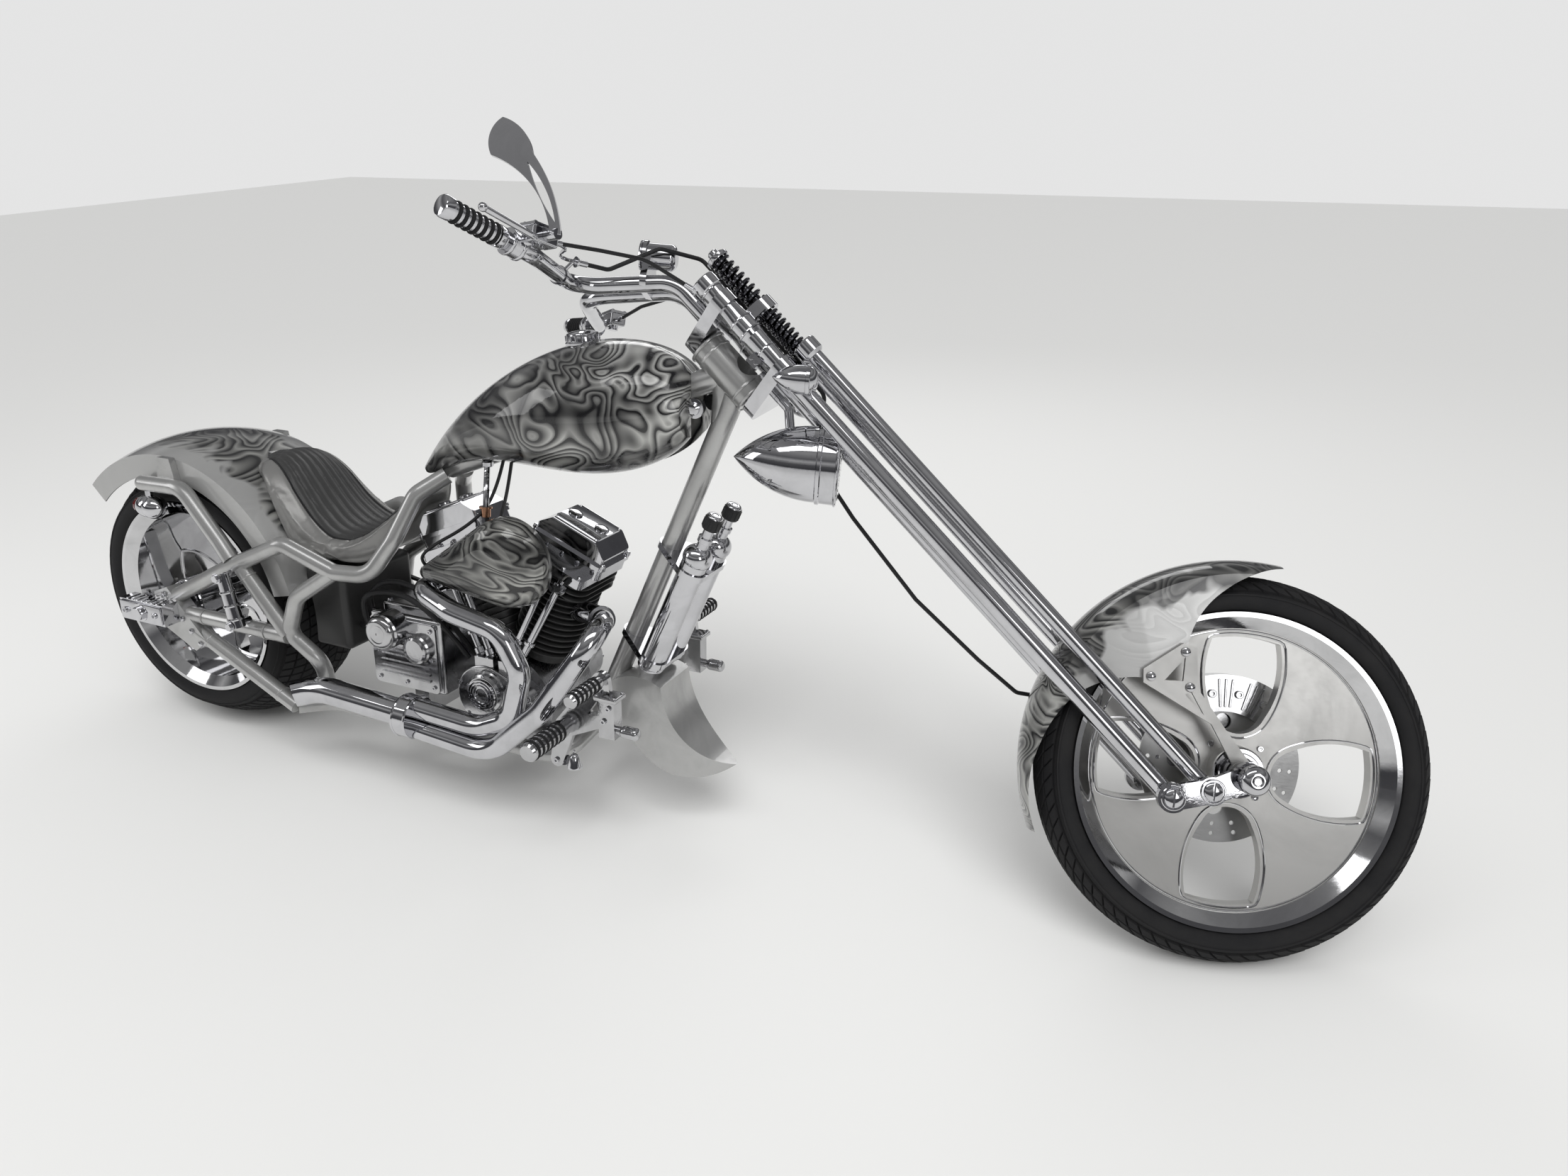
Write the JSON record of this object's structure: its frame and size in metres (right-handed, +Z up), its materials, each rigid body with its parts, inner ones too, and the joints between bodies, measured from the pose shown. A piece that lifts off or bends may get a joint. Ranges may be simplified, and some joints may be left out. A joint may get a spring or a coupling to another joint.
{
  "type": "chopper motorcycle",
  "caption": "Long raked chopper motorcycle with springer fork, V-twin engine, wide rear wheel, low seat and side stand.",
  "frame": {"origin": "on the floor under the middle of the bounding box, machine parked on its side stand with the bars turned left", "axes": "+X forwards, +Y to the rider's left, +Z up"},
  "size_m": [3.0192, 0.715, 1.4244],
  "materials": {
    "frame_metal": "semi-gloss",
    "tank_paint": "gloss",
    "fender_paint": "gloss",
    "air_cleaner_paint": "gloss",
    "chrome": "polished",
    "black_chrome": "polished",
    "engine_black": "satin",
    "engine_metal": "satin",
    "rim_metal": "brushed",
    "bottle_metal": "polished",
    "disc_steel": "brushed",
    "tyre": "matte",
    "seat_leather": "satin",
    "cable_black": "satin",
    "caliper_metal": "satin"
  },
  "bodies": {
    "frame": {"air_cleaner": "air_cleaner_paint", "bottle_clamps": "chrome", "bottles": "bottle_metal", "cam_chest": "chrome", "chin_scoop": "frame_metal", "cradle_rails": "frame_metal", "cylinders": "engine_black", "drive_belt": "cable_black", "engine_cases": "engine_metal", "exhaust_headers": "chrome", "exhaust_tail": "chrome", "fender_struts": "frame_metal", "foot_controls": "chrome", "frame_down_tube": "frame_metal", "frame_left_truss": "frame_metal", "frame_neck": "frame_metal", "frame_right_truss": "frame_metal", "fuel_cap": "chrome", "fuel_tank": "tank_paint", "gearbox": "chrome", "oil_tank": "engine_black", "primary_cover": "engine_metal", "pushrod_tubes": "chrome", "rear_axle": "chrome", "rear_dampers": "chrome", "rear_fender": "fender_paint", "rear_marker_lamps": "chrome", "rocker_boxes": "chrome", "seat": "seat_leather", "stand_lug": "frame_metal"},
    "front_end": {"bar_controls": "chrome", "brake_hose": "cable_black", "control_cables": "cable_black", "fork_front_legs": "chrome", "fork_rear_legs": "chrome", "fork_rockers": "chrome", "fork_springs": "black_chrome", "front_axle": "chrome", "front_caliper": "caliper_metal", "front_fender": "fender_paint", "front_fender_brackets": "chrome", "front_marker_lamps": "chrome", "gauge_clamp": "chrome", "grips": "chrome", "handlebar": "chrome", "headlight": "chrome", "mirror": "chrome"},
    "front_wheel": {"front_brake_disc": "disc_steel", "front_rim": "rim_metal", "front_tyre": "tyre"},
    "rear_wheel": {"rear_pulley": "rim_metal", "rear_rim": "rim_metal", "rear_tyre": "tyre"},
    "side_stand": {"side_stand": "chrome"}
  },
  "joints": [
    {"name": "steering", "type": "hinge", "parent": "frame", "child": "front_end", "pos_m": [0.20794, 0.06248, 0.97437], "axis": [-0.7431, 0.0566, 0.6667], "range_deg": [-55.4, 0]},
    {"name": "front_wheel_spin", "type": "hinge", "parent": "front_end", "child": "front_wheel", "pos_m": [1.17393, 0.09496, 0.32349], "axis": [-0.311, 0.853, -0.4191], "continuous": true},
    {"name": "rear_wheel_spin", "type": "hinge", "parent": "frame", "child": "rear_wheel", "pos_m": [-1.17665, 0.00802, 0.33249], "axis": [0, 0.9964, -0.0845], "continuous": true},
    {"name": "side_stand_fold", "type": "hinge", "parent": "frame", "child": "side_stand", "pos_m": [-0.41665, 0.16487, 0.13484], "axis": [0.0571, 0.7484, 0.6608], "range_deg": [0, 104.24]}
  ]
}
